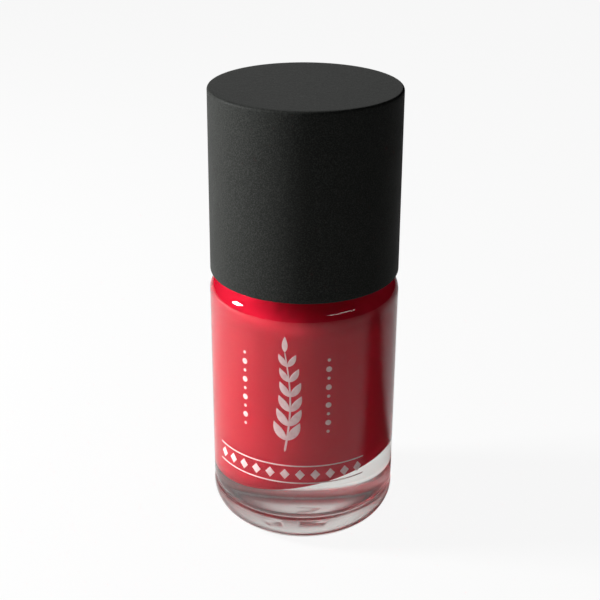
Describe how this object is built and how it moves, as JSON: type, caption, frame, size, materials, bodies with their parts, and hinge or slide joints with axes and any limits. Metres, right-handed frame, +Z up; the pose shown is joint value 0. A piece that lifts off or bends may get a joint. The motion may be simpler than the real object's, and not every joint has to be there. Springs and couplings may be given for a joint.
{
  "type": "nail polish bottle",
  "caption": "Small round glass bottle of nail polish with a thick clear base and a leaning cavity floor; its tall cylindrical screw cap carries the brush on a long stem.",
  "frame": {"origin": "centre of the base, on the surface that the bottle stands on", "axes": "+Z up along the bottle's axis, -Y towards the printed front of the glass, +X to the right seen from the front"},
  "size_m": [0.0242, 0.0242, 0.0585],
  "materials": {
    "clear_glass": "clear and polished",
    "red_polish": "wet red cream",
    "steel_ball": "polished",
    "white_foam": "fine foam",
    "stem_plastic": "smooth",
    "staple_wire": "plain wire",
    "bristle_nylon": "fine filaments",
    "closure_plastic": "moulded",
    "soft_black": "soft-touch, finely grained"
  },
  "bodies": {
    "bottle": {"glass_bottle": "clear_glass", "nail_polish": "red_polish", "mixing_ball_1": "steel_ball", "mixing_ball_2": "steel_ball"},
    "gasket": {"neck_gasket": "white_foam"},
    "brush": {"brush_stem": "stem_plastic", "bristle_staple": "staple_wire", "brush_bristles": "bristle_nylon"},
    "cap": {"inner_cap": "closure_plastic", "overcap": "soft_black"}
  },
  "joints": [
    {"name": "cap_lift", "type": "slide", "parent": "bottle", "child": "gasket", "axis": [0, 0, 1], "range_m": [0, 0.042]},
    {"name": "cap_rise", "type": "slide", "parent": "gasket", "child": "brush", "axis": [0, 0, 1], "range_m": [0, 0.0048]},
    {"name": "cap_turn", "type": "hinge", "parent": "brush", "child": "cap", "pos_m": [0, 0, 0.035], "axis": [0, 0, 1], "range_deg": [0, 810]}
  ],
  "couplings": [
    {"joint": "cap_rise", "follows": "cap_turn", "m_per_rad": 0.00033693}
  ]
}
